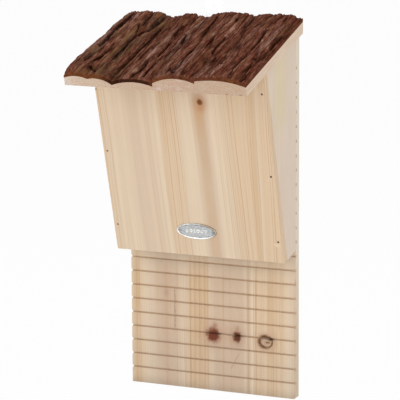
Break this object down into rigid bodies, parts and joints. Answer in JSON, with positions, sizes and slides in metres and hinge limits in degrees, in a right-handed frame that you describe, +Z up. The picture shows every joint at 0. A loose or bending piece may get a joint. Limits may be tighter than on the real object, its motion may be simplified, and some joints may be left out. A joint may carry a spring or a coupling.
{
  "type": "bat box",
  "caption": "Wooden bat box for a wall: grooved back board, leaning front panel, open slit at the bottom and a sloping roof of bark-covered slabs.",
  "frame": {"origin": "centre of the hanging hole, on the wall plane (rear face of the hanging plate)", "axes": "+X to the right of a viewer facing the box, +Y towards the wall, +Z up"},
  "size_m": [0.194, 0.1564, 0.412],
  "materials": {
    "back_board_wood": "raw sawn spruce, saw kerfs darker",
    "front_panel_wood": "raw planed spruce, edge-glued strips",
    "side_panel_wood": "raw planed spruce",
    "slab_wood": "raw sawn, end grain at the front",
    "bark": "rough furrowed bark",
    "galvanised_steel": "galvanised",
    "screw_steel": "zinc plated",
    "brad_steel": "dull, darkened",
    "badge_tin": "pressed tin plate, dull silver"
  },
  "bodies": {
    "root": {"back_board": "back_board_wood", "front_panel": "front_panel_wood", "side_panel_left": "side_panel_wood", "side_panel_right": "side_panel_wood", "roof_slab_1": "slab_wood", "roof_slab_2": "slab_wood", "roof_slab_3": "slab_wood", "roof_slab_4": "slab_wood", "roof_bark_1": "bark", "roof_bark_2": "bark", "roof_bark_3": "bark", "roof_bark_4": "bark", "hanger_plate": "galvanised_steel", "hanger_screws": "screw_steel", "front_brads": "brad_steel", "back_brads": "brad_steel", "roof_nails": "brad_steel", "badge_plate": "badge_tin", "badge_pins": "badge_tin"}
  },
  "joints": []
}
